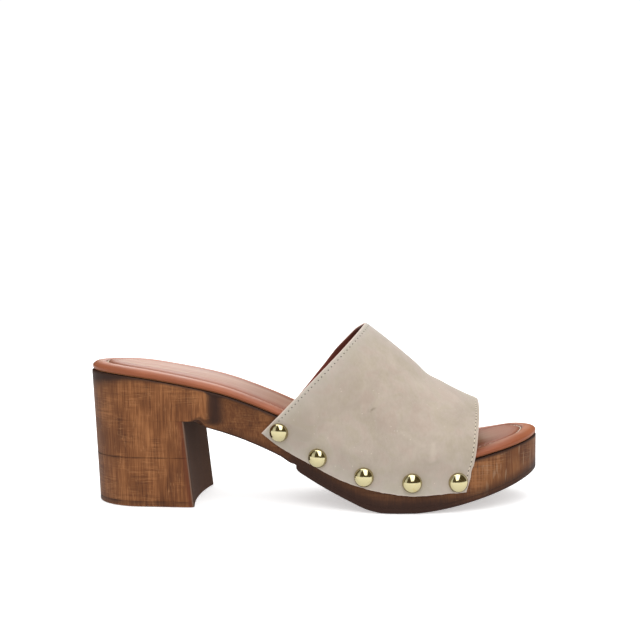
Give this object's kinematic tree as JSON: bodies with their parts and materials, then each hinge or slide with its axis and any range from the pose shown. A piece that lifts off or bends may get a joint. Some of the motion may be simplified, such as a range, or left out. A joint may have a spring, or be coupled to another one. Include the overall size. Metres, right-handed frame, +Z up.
{
  "type": "heeled mule",
  "caption": "Open-toe slip-on mule, right shoe: suede band nailed with domed studs to a wooden platform on a block heel, with a padded leather insole.",
  "frame": {"origin": "on the floor, under the centre of the shoe's box seen from above", "axes": "+X from heel to toe, +Z up, lateral side of the right shoe at -Y"},
  "size_m": [0.246, 0.0944, 0.0962],
  "materials": {
    "wood": "stained and waxed, fine vertical grain",
    "rubber": "matt dark brown",
    "insole_leather": "smooth tan leather, soft sheen",
    "suede": "pale grey-beige suede, soft nap",
    "brass": "polished pale brass"
  },
  "bodies": {
    "root": {"wood_platform": "wood", "heel_block_upper": "wood", "heel_block_lower": "wood", "heel_tip": "rubber", "forefoot_outsole": "rubber", "insole": "insole_leather", "upper_band": "suede", "stud_lateral_1": "brass", "stud_lateral_2": "brass", "stud_lateral_3": "brass", "stud_lateral_4": "brass", "stud_lateral_5": "brass", "stud_medial_1": "brass", "stud_medial_2": "brass", "stud_medial_3": "brass", "stud_medial_4": "brass", "stud_medial_5": "brass"}
  },
  "joints": []
}
